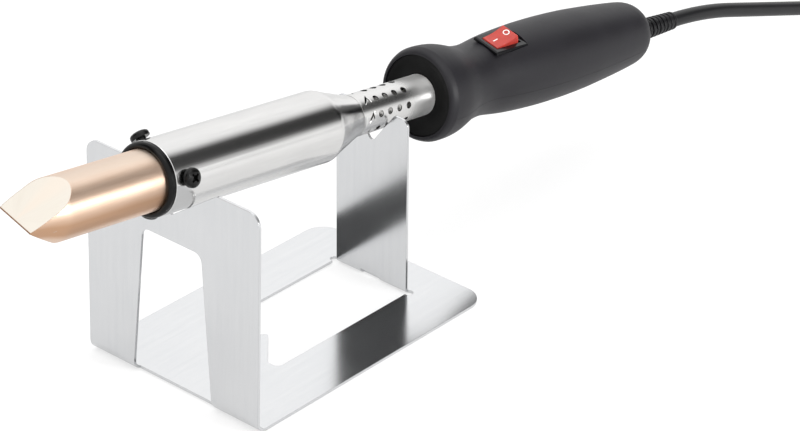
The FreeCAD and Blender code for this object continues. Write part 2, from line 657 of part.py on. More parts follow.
def handle_lower_shell():
    body = handle_body()
    lower = half_shell(body, -30, 0)
    for x, y, head_z in HANDLE_SCREWS:
        lower = lower.fuse(post(3.7, x, y, -25, 0.0).common(body))
        lower = lower.cut(post(1.7, x, y, -30, 1)).cut(post(2.9, x, y, -30, head_z))
    # two seats for the terminal block and a saddle for the cable
    for half_x, y0, y1, top in ((11, 234.0, 236.2, -6.02), (11, 247.8, 250.0, -6.02),
                                (12, 271.2, 276.8, -CABLE_R - 0.03)):
        lower = lower.fuse(box(-half_x, half_x, y0, y1, -25, top).common(body))
    for x in CABLE_CLAMP_XS:               # posts for the cable clamp
        lower = lower.fuse(post(2.6, x, CABLE_CLAMP_Y, -25, 3.4).common(body))
        lower = lower.cut(post(1.27, x, CABLE_CLAMP_Y, -4.6, 10))
    lower = lower.cut(seam_groove(body))
    # room for the earth screw and its eyelet
    lower = lower.cut(bar(3.4, FLANGE_Y + 0.6, 163.0, 0, EARTH_Z))
    return lower.removeSplitter()


def handle_screws():
    screws = []
    for x, y, seat in HANDLE_SCREWS:
        screw = (post(1.5, x, y, seat - 0.1, 6.0)
                 .fuse(post(2.7, x, y, seat - 2.0, seat - 0.02)))
        recess = cross_recess(x, y, 3.2, 0.8, seat - 2.2, seat - 0.9)
        screws.append(screw.cut(recess).removeSplitter())
    return Part.makeCompound(screws)


def handle_front_disc():
    """One smooth dish from the handle's rim down to the neck."""
    hub_r, hub_y, rim_y = 8.4, 149.5, 149.45
    dish_start = (DISC_R - 0.35, 149.1)
    dish = spline(flat([dish_start, (16.3, 149.25), (14.5, 149.9), (12.7, 150.3),
                        (11.0, 150.3), (9.6, 150.0), (hub_r, hub_y)]))
    rim = arc(*flat([(DISC_R, rim_y), (DISC_R - 0.1, 149.2), dish_start]))
    back = path([(hub_r, hub_y), (hub_r, DISC_FLANGE_REAR), (DISC_FLANGE_R, DISC_FLANGE_REAR),
                 (DISC_FLANGE_R, DISC_FLANGE_FRONT), (DISC_R, DISC_FLANGE_FRONT),
                 (DISC_R, rim_y)])
    # the bore follows the neck, which runs at a slight angle to the handle
    bore = placed(bar(NECK_R + 0.06, 140, 170), DROOP.inverse())
    return revolved([dish, rim] + back).cut(bore)


# ------------------------------------------------------------ switch
def switch_housing():
    open_half_x, open_half_y = 4.45, 8.4
    bezel = box(-BEZEL_WIDTH / 2, BEZEL_WIDTH / 2, SWITCH_Y - BEZEL_LENGTH / 2,
                SWITCH_Y + BEZEL_LENGTH / 2, SWITCH_TOP - BEZEL_T, SWITCH_TOP)
    top_edges = [edge for edge in bezel.Edges
                 if abs(edge.CenterOfMass.z - SWITCH_TOP) < 1e-6]
    bezel = bezel.makeChamfer(0.5, top_edges)
    body = box(-6.1, 6.1, SWITCH_Y - 9.0, SWITCH_Y + 9.0, -1.5, SWITCH_TOP - BEZEL_T + 0.1)
    opening = box(-open_half_x, open_half_x, SWITCH_Y - open_half_y, SWITCH_Y + open_half_y,
                  0.6, SWITCH_TOP + 1)
    housing = bezel.fuse(body).cut(opening)
    for x in (-5.75, 4.0):                 # journals for the rocker's pins
        housing = housing.cut(cross_bar(1.15, x, x + 1.75, SWITCH_Y, ROCKER_PIVOT_Z))
    for y in BLADE_YS:
        housing = housing.cut(box(-2.42, 2.42, y - 0.42, y + 0.42, -3, 1))
    return housing.removeSplitter()


def switch_rocker():
    """Built about its pivot, then tipped and set in the housing."""
    half_x, rest_deg, nose_r, nose_z = 4.25, 18.0, 1.3, -4.3
    # smooth hollow between the two pressing ends, which slope out to the lower body
    hollow = spline([Vec(0, y, 5.60 + 0.72 * (y / 6.0) ** 2)
                     for y in (-6.0, -4.0, -2.0, 0.0, 2.0, 4.0, 6.0)])
    tips = [arc(Vec(0, side * 6.0, 6.32), Vec(0, side * 6.22, 6.24), Vec(0, side * 6.34, 6.02))
            for side in (1, -1)]
    lower = Part.makePolygon([Vec(0, y, z) for y, z in (
        (6.34, 6.02), (7.1, 3.2), (7.1, 1.6), (4.6, -2.0),
        (-4.6, -2.0), (-7.1, 1.6), (-7.1, 3.2), (-6.34, 6.02))])
    face = face_within([hollow] + tips + lower.Edges)
    face.translate(Vec(-half_x, 0, 0))
    rocker = face.extrude(Vec(2 * half_x, 0, 0))
    rocker = rocker.fuse(cross_bar(1.1, -5.6, 5.6, 0, 0))
    # plunger nose under the pivot that rocks the contact strip
    rocker = rocker.fuse(post(nose_r, 0, 0, nose_z, nose_z + 3.0))
    rocker = rocker.fuse(Part.makeSphere(nose_r, Vec(0, 0, nose_z)))
    rocker.rotate(ORIGIN, X_AXIS, rest_deg)
    rocker.translate(Vec(0, SWITCH_Y, ROCKER_PIVOT_Z))
    return rocker.removeSplitter()


def switch_contact():
    """See-saw strip under the rocker, with a stud near each end."""
    pivot_z, rest_deg = 6.2, 6.0
    strip = box(-2.0, 2.0, -6.6, 6.6, 0.0, 0.7).fuse(cross_bar(0.6, -2.0, 2.0, 0, 0.1))
    for y in (5.9, -5.9):
        strip = strip.fuse(post(0.9, 0, y, -0.45, 0.05))
    strip.rotate(ORIGIN, X_AXIS, -rest_deg)
    strip.translate(Vec(0, SWITCH_Y, pivot_z))
    return strip.removeSplitter()


def switch_terminals():
    blades = []
    for y, top in zip(BLADE_YS, (4.75, 5.5, 4.75)):
        blade = box(-2.4, 2.4, y - 0.4, y + 0.4, -6.8, top)
        blades.append(blade.cut(bar(0.75, y - 2, y + 2, 0, -5.3)))
    return Part.makeCompound(blades)


# ------------------------------------------------------------ terminal block
def terminal_block():
    block = box(-11, 11, 233.0, 251.0, -6.0, 6.0)
    for x in BLOCK_XS:
        block = block.cut(bar(2.65, 230, 255, x))
        for y in BLOCK_SCREW_YS:
            block = block.cut(post(1.9, x, y, 0, 10))
    for x in (-3.5, 3.5):                  # grooves between the poles
        block = block.cut(box(x - 0.6, x + 0.6, 232, 252, 3.5, 7))
    return block


def terminal_tubes():
    tubes = []
    for x in BLOCK_XS:
        sleeve = tube(2.6, 1.5, 233.6, 250.4, x)
        for y in BLOCK_SCREW_YS:
            sleeve = sleeve.cut(post(1.15, x, y, 0, 5))
        tubes.append(sleeve)
    return Part.makeCompound(tubes)


def terminal_screws():
    screws = []
    for x in BLOCK_XS:
        for y in BLOCK_SCREW_YS:
            screw = post(1.1, x, y, 1.02, 4.0).fuse(post(1.7, x, y, 3.9, 5.4))
            slot = box(x - 2, x + 2, y - 0.25, y + 0.25, 4.7, 6)
            screws.append(screw.cut(slot).removeSplitter())
    return Part.makeCompound(screws)


def cable_cores():
    """Three cores that fan out from the cable's end to the block."""
    cores = []
    for x, start_z in zip(BLOCK_XS, (-0.4, 1.2, -0.4)):
        start_x = x * 0.26
        cores.append(round_wire([Vec(start_x, 264.0, start_z), Vec(start_x, 261.0, start_z),
                                 Vec(x, 254.5, 0), Vec(x, 245.2, 0)], 0.85))
    return Part.makeCompound(cores)


# ------------------------------------------------------------ cable clamp
def cable_clamp():
    strap = box(-10.2, 10.2, CABLE_CLAMP_Y - 2.4, CABLE_CLAMP_Y + 2.4, 3.45, 5.6)
    for x in CABLE_CLAMP_XS:
        strap = strap.cut(post(1.45, x, CABLE_CLAMP_Y, 0, 10))
    return strap


def cable_clamp_screws():
    y = CABLE_CLAMP_Y
    screws = []
    for x in CABLE_CLAMP_XS:
        screw = post(1.25, x, y, -4.0, 5.7).fuse(post(2.4, x, y, 5.62, 7.2))
        slot = box(x - 3, x + 3, y - 0.35, y + 0.35, 6.4, 8)
        screws.append(screw.cut(slot).removeSplitter())
    return Part.makeCompound(screws)


# ------------------------------------------------------------ cable and boot
BOOT_END = 40.4                            # along the exit's own line
BOOT_BORE_R = CABLE_R + 0.04
RING_COUNT, RING_PITCH, RING_WIDTH = 10, 2.86, 1.75
FIRST_RING_R, RING_TAPER = 5.15, 0.95      # radius lost from first ring to last


def swing(start, direction, degrees, radius, axis, toward):
    """Cable bent about a centre lying toward; returns solid, end point, end direction."""
    centre = start + toward * radius
    section = Part.Face(Part.Wire([Part.makeCircle(CABLE_R, start, direction)]))
    turn = FreeCAD.Rotation(axis, degrees)
    end = centre + turn.multVec(start - centre)
    return section.revolve(centre, axis, degrees), end, turn.multVec(direction)


def mains_cable():
    """In the stand frame: it leaves the boot, sags on one wide arc, then runs straight."""
    sag_r, sag_deg, tail_length = 254.8, 10.43, 73.0
    straight_end = BOOT_END + 1.0
    # inside the handle: straight, down and back up into the exit's line
    down, point, aim = swing(Vec(0, EXIT_START, 0), Y_AXIS, -EXIT_DOWN_DEG, EXIT_BEND_R,
                             X_AXIS, Vec(0, 0, -1))
    back_up, _, _ = swing(point, aim, EXIT_UP_DEG, EXIT_BEND_R, X_AXIS, Vec(0, -aim.z, aim.y))
    cable = placed(bar(CABLE_R, 264.1, EXIT_START).fuse(down).fuse(back_up), HANDLE_FRAME)
    cable = cable.fuse(placed(bar(CABLE_R, 0.0, straight_end), BOOT_FRAME))
    aim = BOOT_FRAME.Rotation.multVec(Y_AXIS)
    level = aim.cross(Z_AXIS).normalize()
    sag, point, tail_aim = swing(BOOT_FRAME.multVec(Vec(0, straight_end, 0)), aim, -sag_deg,
                                 sag_r, level, aim.cross(level))
    cable = cable.fuse(sag).fuse(Part.makeCylinder(CABLE_R, tail_length, point, tail_aim))
    return cable.removeSplitter()


def cable_boot():
    """Collar held in the handle's rear wall, rings on a thin sleeve, webs between them."""
    collar_r, collar_front, collar_rear = 4.85, 1.2, 3.65
    outline = [(BOOT_BORE_R, collar_front), (collar_r, collar_front),
               (collar_r, collar_rear), (4.3, collar_rear)]
    rings = []                             # (radius, rear y)
    for i in range(RING_COUNT):
        radius = FIRST_RING_R - RING_TAPER * i / (RING_COUNT - 1)
        rear = BOOT_END - RING_PITCH * (RING_COUNT - 1 - i)
        front = rear - RING_WIDTH
        rings.append((radius, rear))
        outline += [(4.3 if i == 0 else 3.9, front), (radius - 0.35, front),
                    (radius - 0.1, front + 0.12), (radius, front + 0.4), (radius, rear - 0.4),
                    (radius - 0.1, rear - 0.12), (radius - 0.35, rear),
                    (3.89 if i < RING_COUNT - 1 else BOOT_BORE_R, rear)]
    boot = turned(outline)
    # webs stand upright and lie flat by turns
    for i in range(RING_COUNT - 1):
        rear = rings[i][1]
        half_x, half_z = (1.6, 9) if (RING_COUNT - i) % 2 == 0 else (9, 1.6)
        web = box(-half_x, half_x, rear - 0.5, rear + RING_PITCH - RING_WIDTH + 0.5,
                  -half_z, half_z)
        boot = boot.fuse(web.common(bar(rings[i + 1][0] - 0.3, rear - 1, rear + 3)))
    return boot.cut(bar(BOOT_BORE_R, 0.0, BOOT_END + 2)).removeSplitter()


# ------------------------------------------------------------ write
# each builder is named after its file
BUILDERS = (
    (STAND_FRAME, (stand_plate, mains_cable)),
    (BIT_FRAME, (copper_bit,)),
    (IRON_FRAME, (mouth_ring, bit_clamp_screws, barrel, neck_tube, heater_core_tube,
                  mica_inner_sleeve, mica_outer_sleeve, front_spacer_ring,
                  rear_insulator_disc, heater_winding, lead_insulators, neutral_lead,
                  live_lead, earth_lead, earth_screw)),
    (HANDLE_FRAME, (switch_feed_wire, handle_screws, handle_upper_shell, handle_lower_shell,
                    handle_front_disc, switch_housing, switch_rocker, switch_contact,
                    switch_terminals, terminal_block, terminal_tubes, terminal_screws,
                    cable_cores, cable_clamp, cable_clamp_screws)),
    (BOOT_FRAME, (cable_boot,)),
)
for frame, builders in BUILDERS:
    for build in builders:
        placed(build(), frame).exportStep("parts/%s.step" % build.__name__)
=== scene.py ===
# An electric iron with a copper working end, a black handle with a red rocker switch, and
# galvanised sheet. Metres, +Z up. The iron's axis runs from the copper end (-Y) to the handle
# (+Y), sinking slightly on the way. Sizes along the iron are in millimetres, as (x, s, w):
# x across, s along the axis towards the handle, w out from the axis on its upper side.
import json
import math

import bmesh
import bpy
from mathutils import Matrix, Vector


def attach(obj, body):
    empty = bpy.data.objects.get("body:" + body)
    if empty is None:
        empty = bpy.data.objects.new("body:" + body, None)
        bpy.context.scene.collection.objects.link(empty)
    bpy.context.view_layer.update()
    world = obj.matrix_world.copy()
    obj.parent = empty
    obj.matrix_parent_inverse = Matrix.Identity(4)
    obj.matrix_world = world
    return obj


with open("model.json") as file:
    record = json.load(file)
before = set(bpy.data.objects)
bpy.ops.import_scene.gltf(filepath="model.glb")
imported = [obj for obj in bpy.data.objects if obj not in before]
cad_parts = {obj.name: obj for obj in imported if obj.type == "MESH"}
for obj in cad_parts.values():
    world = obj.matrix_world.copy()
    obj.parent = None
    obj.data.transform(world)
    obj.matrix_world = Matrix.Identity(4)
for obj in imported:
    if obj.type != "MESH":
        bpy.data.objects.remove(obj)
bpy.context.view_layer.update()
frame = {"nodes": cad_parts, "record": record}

scene = bpy.context.scene

# ------------------------------------------------------------ the iron's own axes
MM = 0.001
ORIGIN = Vector((0.00006, -0.022, 0.09866))
AXIS = Vector((-0.0047, 1.0, -0.1562)).normalized()
LEVEL_X = (Vector((1, 0, 0)) - AXIS * AXIS.x).normalized()
LEVEL_UP = LEVEL_X.cross(AXIS)
ROLL = math.radians(13.7)  # the iron's turn about its own axis
OUT = LEVEL_UP * math.cos(ROLL) + LEVEL_X * math.sin(ROLL)
ACROSS = LEVEL_X * math.cos(ROLL) - LEVEL_UP * math.sin(ROLL)

HANDLE_S = 120.0  # the handle tilts about this station
HANDLE_TILT = math.radians(0.43)

COPPER_END_S = -77.93
NECK_BORE_RADIUS = 8.7
NECK_FADE_S = 131.0  # the neck grows duller from here, and its colour is painted paler, a painted reflection
NECK_FADE_LENGTH = 18.0

# The rocker's frame: u along the handle, turned about its pivot
ROCKER_TURN = math.radians(18.0)
PIVOT_S, PIVOT_W = 196.7, 13.4
ROCKER_FACE = 5.60  # pivot to the middle of the dished face
ROCKER_DISH = 0.72  # how far the face has risen at ROCKER_DISH_U
ROCKER_DISH_U = 6.0

MARK_HEIGHT = 0.045
MARK_SINK = 0.03
# Cross-section of a mark: share of its width, height above the face
MARK_SECTION = [
    (0.0, -MARK_SINK), (0.0, 0.7 * MARK_HEIGHT), (0.15, MARK_HEIGHT),
    (0.85, MARK_HEIGHT), (1.0, 0.7 * MARK_HEIGHT), (1.0, -MARK_SINK),
]
RING_X, RING_U = -0.5, 4.15
RING_INNER, RING_OUTER = 1.02, 1.46
RING_STEPS = 48
BAR_X0, BAR_X1 = -0.42, 0.06
BAR_U, BAR_LENGTH = -4.15, 2.7
BAR_STEPS = 10

FLOOR_HALF = 6.0
FLOOR_Z = -0.0004


def handle_point(x, s, w):
    """A handle point in millimetres, tilted with the handle, to metres in the scene."""
    past = s - HANDLE_S
    s = HANDLE_S + past * math.cos(HANDLE_TILT) + w * math.sin(HANDLE_TILT)
    w = -past * math.sin(HANDLE_TILT) + w * math.cos(HANDLE_TILT)
    return ORIGIN + (ACROSS * x + AXIS * s + OUT * w) * MM


# ------------------------------------------------------------ node helpers
class Shader:
    """The node tree of a material or world, ending in one surface shader."""

    def __init__(self, owner, surface, output, coordinates):
        owner.use_nodes = True
        self.tree = owner.node_tree
        self.tree.nodes.clear()
        output_node = self.add(output)
        self.surface = self.add(surface)
        self.tree.links.new(self.surface.outputs[0], output_node.inputs[0])
        self.place = self.add("TexCoord").outputs[coordinates]

    def feed(self, socket, value):
        """Link a socket to an input, or set the input's value."""
        if isinstance(value, bpy.types.NodeSocket):
            self.tree.links.new(value, socket)
        else:
            socket.default_value = value

    def add(self, kind, inputs=None, **settings):
        """A node with its settings and its inputs, given by index or name."""
        node = self.tree.nodes.new("ShaderNode" + kind)
        for key, value in settings.items():
            setattr(node, key, value)
        for key, value in (inputs or {}).items():
            if value is not None:
                self.feed(node.inputs[key], value)
        return node

    def set(self, **inputs):
        """Feed the surface shader; underscores stand for spaces."""
        for key, value in inputs.items():
            self.feed(self.surface.inputs[key.replace("_", " ")], value)

    def math(self, operation, a, b=None, c=None, clamp=False):
        inputs = {0: a, 1: b, 2: c}
        return self.add("Math", inputs, operation=operation, use_clamp=clamp).outputs[0]

    def times(self, a, b):
        return self.math("MULTIPLY", a, b)

    def plus(self, a, b):
        return self.math("ADD", a, b)

    def scaled(self, value, span, start):
        """value * span + start"""
        return self.math("MULTIPLY_ADD", value, span, start)

    def weighted(self, a, share_a, b, share_b):
        return self.plus(self.times(a, share_a), self.times(b, share_b))

    def dot(self, a, b):
        return self.add("VectorMath", {0: a, 1: b}, operation="DOT_PRODUCT").outputs["Value"]

    def combine(self, x, y, z):
        return self.add("CombineXYZ", {0: x, 1: y, 2: z}).outputs[0]

    def ramp(self, value, stops):
        """Colour ramp from (position, colour or grey level) stops."""
        node = self.add("ValToRGB", {0: value})
        elements = node.color_ramp.elements
        while len(elements) < len(stops):
            elements.new(0.5)
        for element, (position, colour) in zip(elements, stops):
            element.position = position
            if isinstance(colour, (int, float)):
                colour = (colour, colour, colour)
            element.color = (*colour, 1.0)
        return node.outputs[0]


class Mat(Shader):
    def __init__(self, name):
        self.material = bpy.data.materials.new(name)
        super().__init__(self.material, "BsdfPrincipled", "OutputMaterial", "Object")

    def noise(self, scale, detail=3.0, roughness=0.6, at=None):
        """Noise in object space, or at the given coordinates."""
        inputs = {"Vector": at or self.place, "Scale": scale, "Detail": detail,
                  "Roughness": roughness}
        return self.add("TexNoise", inputs).outputs[0]

    def cells(self, scale):
        return self.add("TexVoronoi", {"Vector": self.place, "Scale": scale}).outputs[0]

    def mix(self, share, a, b):
        """Mix two colours; inputs 6 and 7 are the Mix node's colour pair."""
        a, b = ((*c, 1.0) if isinstance(c, tuple) else c for c in (a, b))
        return self.add("Mix", {0: share, 6: a, 7: b}, data_type="RGBA").outputs[2]

    def bump(self, height, strength, distance, normal=None):
        inputs = {"Strength": strength, "Distance": distance, "Height": height, "Normal": normal}
        return self.add("Bump", inputs).outputs[0]

    def bevel(self, radius):
        return self.add("Bevel", {"Radius": radius}, samples=6).outputs[0]

    def edge(self, radius):
        """1 along sharp edges, 0 on open faces."""
        normal = self.add("NewGeometry").outputs["Normal"]
        off = self.math("SUBTRACT", 1.0, self.dot(self.bevel(radius), normal))
        return self.ramp(off, [(0.01, 0.0), (0.10, 1.0)])


class TurnedMat(Mat):
    """A material laid out round the iron's axis: x, s and w in millimetres, and the angle."""

    def __init__(self, name):
        super().__init__(name)
        offset = self.add("VectorMath", {0: self.place, 1: ORIGIN}, operation="SUBTRACT")
        self.x, self.s, self.w = (
            self.dot(offset.outputs[0], axis * 1000) for axis in (ACROSS, AXIS, OUT))
        self.angle = self.math("ARCTAN2", self.x, self.w)
        self.cosine = self.math("COSINE", self.angle)
        self.sine = self.math("SINE", self.angle)

    def tube_noise(self, around, along, **texture):
        """Noise stretched by separate frequencies round the axis and along it."""
        at = self.combine(self.times(self.cosine, around), self.times(self.s, along),
                          self.times(self.sine, around))
        return self.noise(at=at, **texture)

    def half_turns(self, angle):
        return self.times(angle, 1.0 / math.pi)

    def along_iron(self, amount):
        """Stretch reflections along the iron's axis, as a drawn or turned tube does."""
        self.set(Anisotropic=amount, Tangent=self.combine(*AXIS))


# ------------------------------------------------------------ metals
def galvanised(name):
    """Bright rolled sheet: a fine grain along the height, soft cloudy variation, painted shade
    along its edges.
    """
    m = Mat(name)
    x, y, z = m.add("SeparateXYZ", {0: m.place}).outputs
    run = m.plus(y, z)

    def streaks(across, along, layer, **texture):
        at = m.combine(m.times(x, across), m.times(run, along), layer)
        return m.noise(scale=1.0, at=at, **texture)

    fine = streaks(across=2300.0, along=60.0, layer=0.0, roughness=0.62)
    wide = streaks(across=430.0, along=18.0, layer=3.0, detail=2.0, roughness=0.5)
    cloud = m.noise(scale=42.0, roughness=0.5)
    speck = m.noise(scale=1500.0)
    grain = m.weighted(m.weighted(fine, 0.5, wide, 0.5), 0.7, speck, 0.3)
    base = m.ramp(grain, [(0.28, (0.655, 0.665, 0.680)), (0.5, (0.705, 0.712, 0.722)),
                          (0.75, (0.750, 0.755, 0.762))])
    clouded = m.ramp(cloud, [(0.3, (0.675, 0.685, 0.70)), (0.7, (0.735, 0.74, 0.75))])
    base = m.mix(0.3, base, clouded)
    # Painted shade: darker lines along the sheet's sharp edges
    painted_edge_shade = m.times(m.edge(radius=0.0003), 0.45)
    base = m.mix(painted_edge_shade, base, (0.30, 0.30, 0.31))
    m.set(Base_Color=base, Metallic=1.0, Roughness=m.scaled(cloud, span=0.06, start=0.13),
          Normal=m.bump(grain, strength=0.05, distance=0.00004, normal=m.bevel(0.00018)))
    return m.material


def polished_tube(name, stretch):
    """Polished tube: faint shading along and round it. Returns the shader and base colour."""
    m = TurnedMat(name)
    along = m.tube_noise(around=60.0, along=0.06, scale=1.0)
    broad = m.tube_noise(around=1.6, along=0.03, scale=1.5, detail=2.0, roughness=0.5)
    base = m.ramp(m.weighted(along, 0.55, broad, 0.45),
                  [(0.32, (0.665, 0.66, 0.655)), (0.68, (0.735, 0.73, 0.72))])
    m.set(Metallic=1.0, Normal=m.bump(along, strength=0.03, distance=0.00002))
    m.along_iron(stretch)
    return m, base


def barrel_steel(name):
    """Polished tube with hairlines round it."""
    m, base = polished_tube(name, stretch=0.8)
    hairlines = m.tube_noise(around=9.0, along=0.9, scale=3.0, detail=4.0, roughness=0.65)
    m.set(Base_Color=base, Roughness=m.scaled(hairlines, span=0.05, start=0.13))
    return m.material


def neck_steel(name):
    """Polished tube, painted dark in the bore as shade, duller towards the handle and painted
    paler there as a painted reflection.
    """
    stretch = 0.5
    m, base = polished_tube(name, stretch)
    radius = m.math("SQRT", m.plus(m.times(m.x, m.x), m.times(m.w, m.w)))
    # Painted shade: the inside of the bore is coloured near black
    bore_painted_shade = m.math("LESS_THAN", radius, NECK_BORE_RADIUS)
    base = m.mix(bore_painted_shade, base, (0.012, 0.011, 0.010))
    fade = m.scaled(m.s, span=1.0 / NECK_FADE_LENGTH, start=-NECK_FADE_S / NECK_FADE_LENGTH)
    fade = m.ramp(fade, [(0.0, 0.0), (1.0, 1.0)])
    # Painted reflection: the colour turns paler towards the handle; roughness and stretch grow
    # there too
    m.set(Base_Color=m.mix(fade, base, (0.92, 0.915, 0.90)),
          Roughness=m.scaled(fade, span=0.20, start=0.22),
          Anisotropic=m.scaled(fade, span=0.48, start=stretch))
    return m.material


def copper(name):
    """Turned copper with a soft bloom, drawn lengthwise, with painted shade on its end face."""
    m = TurnedMat(name)
    along = m.tube_noise(around=42.0, along=0.09, scale=1.0)
    broad = m.tube_noise(around=2.2, along=0.05, scale=1.3, detail=2.0, roughness=0.5)
    tone = m.weighted(along, 0.5, broad, 0.5)
    base = m.ramp(tone, [(0.3, (0.755, 0.535, 0.395)), (0.7, (0.820, 0.630, 0.500))])
    # A darker, redder band painted along the +X side, a painted dark reflection
    side = m.ramp(m.half_turns(m.angle), [(0.36, 0.0), (0.47, 1.0), (0.58, 1.0), (0.66, 0.0)])
    base = m.mix(m.times(side, 0.9), base, (0.56, 0.33, 0.20))
    # Paler, greyer colour painted on faces turned towards the working end, a painted reflection
    facing = m.dot(m.add("NewGeometry").outputs["True Normal"], AXIS)
    bevel_face = m.math("LESS_THAN", facing, -0.30)
    bevel_painted_reflection = m.ramp(tone, [(0.3, (0.625, 0.580, 0.515)), (0.7, (0.665, 0.625, 0.560))])
    base = m.mix(bevel_face, base, bevel_painted_reflection)
    # Painted shade: darker lines along the bit's sharp edges
    base = m.mix(m.times(m.edge(radius=0.0006), 0.75), base, (0.36, 0.20, 0.11))
    # A paler strip painted along the top, a painted highlight
    crown_angle = -0.1
    from_crown = m.math("ABSOLUTE", m.math("SUBTRACT", m.angle, crown_angle))
    crown = m.ramp(m.half_turns(from_crown), [(0.05, 1.0), (0.17, 0.0)])
    base = m.mix(m.times(crown, 0.6), base, (0.68, 0.60, 0.52))
    # Painted shade: the end face is coloured dark
    at_end = m.math("LESS_THAN", m.s, COPPER_END_S)
    base = m.mix(at_end, base, (0.30, 0.16, 0.09))
    m.set(Base_Color=base, Metallic=1.0, Roughness=m.scaled(along, span=0.08, start=0.33),
          Normal=m.bump(along, strength=0.04, distance=0.00003, normal=m.bevel(0.0003)))
    m.along_iron(0.55)
    return m.material


def black_metal(name, roughness, specular, bump):
    m = Mat(name)
    grain = m.noise(scale=2600.0)
    soft = m.noise(scale=320.0, detail=2.0, roughness=0.5)
    tone = 0.0030
    m.set(Base_Color=m.ramp(soft, [(0.3, tone), (0.75, tone * 1.9)]),
          Roughness=m.scaled(grain, span=0.10, start=roughness - 0.05),
          Specular_IOR_Level=specular,
          Normal=m.bump(grain, strength=bump, distance=0.00003))
    return m.material


def plain_metal(name, colour, roughness):
    m = Mat(name)
    grain = m.noise(scale=1800.0)
    low = tuple(c * 0.86 for c in colour)
    m.set(Base_Color=m.ramp(grain, [(0.3, low), (0.7, colour)]), Metallic=1.0,
          Roughness=m.scaled(grain, span=0.15, start=roughness - 0.07),
          Normal=m.bump(grain, strength=0.08, distance=0.00006))
    return m.material


# ------------------------------------------------------------ plastics and minerals
def handle_plastic(name):
    """Spark-eroded grain on a dark grey moulding, unevenly polished."""
    m = Mat(name)
    fine = m.noise(scale=2600.0, detail=4.0, roughness=0.65)
    wear = m.noise(scale=70.0, roughness=0.5)
    grain = m.weighted(fine, 0.6, m.cells(scale=1900.0), 0.4)
    base = m.ramp(wear, [(0.25, (0.0072, 0.0066, 0.0086)), (0.8, (0.0112, 0.0104, 0.0134))])
    peaks = m.times(m.ramp(grain, [(0.35, 0.0), (0.75, 1.0)]), 0.35)
    base = m.mix(peaks, base, (0.0205, 0.0195, 0.0245))
    worn = m.scaled(wear, span=0.10, start=0.36)
    m.set(Base_Color=base, Roughness=m.scaled(grain, span=0.12, start=worn),
          Specular_IOR_Level=0.30, Normal=m.bump(grain, strength=0.30, distance=0.00006))
    return m.material


def dish_plastic(name):
    """Heat-proof front disc: painted deeper black as shade in the dish, and duller."""
    m = Mat(name)
    grain = m.noise(scale=2200.0)
    soft = m.noise(scale=160.0, roughness=0.5)
    # Painted shade: a base darker than the handle's
    m.set(Base_Color=m.ramp(soft, [(0.3, 0.0038), (0.75, 0.0060)]),
          Roughness=m.scaled(grain, span=0.12, start=0.50), Specular_IOR_Level=0.12,
          Normal=m.bump(grain, strength=0.15, distance=0.00005))
    return m.material


def plain_plastic(name, colour, roughness, subsurface=0.0, bump=0.08, specular=0.5):
    m = Mat(name)
    grain = m.noise(scale=2400.0)
    soft = m.noise(scale=160.0, detail=2.0, roughness=0.5)
    low = tuple(c * 0.88 for c in colour)
    high = tuple(min(1.0, c * 1.1) for c in colour)
    m.set(Base_Color=m.ramp(soft, [(0.3, low), (0.7, high)]),
          Roughness=m.scaled(grain, span=0.10, start=roughness - 0.05),
          Normal=m.bump(grain, strength=bump, distance=0.00004), Specular_IOR_Level=specular)
    if subsurface:
        m.set(Subsurface_Weight=subsurface, Subsurface_Radius=(0.0022, 0.0006, 0.0004),
              Subsurface_Scale=1.0)
    return m.material


def rocker_red(name):
    m = Mat(name)
    grain = m.noise(scale=2600.0)
    soft = m.noise(scale=300.0, detail=2.0, roughness=0.5)
    m.set(Base_Color=m.ramp(soft, [(0.3, (0.42, 0.036, 0.026)), (0.7, (0.49, 0.048, 0.034))]),
          Roughness=m.scaled(grain, span=0.10, start=0.33), Subsurface_Weight=0.25,
          Subsurface_Radius=(0.0030, 0.0005, 0.0003), Subsurface_Scale=1.0,
          Normal=m.bump(grain, strength=0.10, distance=0.00005), Specular_IOR_Level=0.46)
    return m.material


def ceramic(name):
    m = Mat(name)
    speck = m.noise(scale=1500.0, detail=4.0, roughness=0.7)
    m.set(Base_Color=m.ramp(speck, [(0.3, (0.80, 0.785, 0.75)), (0.7, (0.90, 0.89, 0.87))]),
          Roughness=0.75, Normal=m.bump(speck, strength=0.2, distance=0.0001))
    return m.material


def mica(name):
    m = Mat(name)
    flakes = m.cells(scale=420.0)
    m.set(Base_Color=m.ramp(flakes, [(0.0, (0.62, 0.54, 0.38)), (0.6, (0.80, 0.74, 0.58))]),
          Roughness=0.3, Sheen_Weight=0.2,
          Normal=m.bump(flakes, strength=0.15, distance=0.0001))
    return m.material


def metal(colour, roughness):
    return plain_metal, dict(colour=colour, roughness=roughness)


def plastic(colour, roughness, **more):
    return plain_plastic, dict(colour=colour, roughness=roughness, **more)


# Material slot: its function and settings
SLOT_MATERIALS = {
    "galvanised_sheet": (galvanised, {}),
    "copper": (copper, {}),
    "black_ring": (black_metal, dict(roughness=0.13, specular=0.20, bump=0.03)),
    "black_screw": (black_metal, dict(roughness=0.20, specular=0.22, bump=0.06)),
    "barrel_steel": (barrel_steel, {}),
    "core_steel": metal((0.58, 0.58, 0.57), roughness=0.4),
    "mica": (mica, {}),
    "ceramic_white": (ceramic, {}),
    "heater_wire": metal((0.42, 0.40, 0.37), roughness=0.45),
    "lead_nickel": metal((0.66, 0.64, 0.60), roughness=0.35),
    "wire_brown": plastic((0.16, 0.06, 0.03), roughness=0.4),
    "wire_earth": plastic((0.25, 0.42, 0.05), roughness=0.4),
    "zinc_screw": metal((0.70, 0.71, 0.70), roughness=0.28),
    "handle_plastic": (handle_plastic, {}),
    "switch_black": plastic((0.0045, 0.0045, 0.0055), roughness=0.24, bump=0.06, specular=0.32),
    "rocker_red": (rocker_red, {}),
    "contact_brass": metal((0.80, 0.58, 0.26), roughness=0.25),
    "block_white": plastic((0.80, 0.80, 0.77), roughness=0.4, subsurface=0.1),
    "cable_sheath": plastic((0.0075, 0.0075, 0.0085), roughness=0.40, specular=0.26),
    "boot_rubber": plastic((0.006, 0.006, 0.007), roughness=0.38, specular=0.24),
}


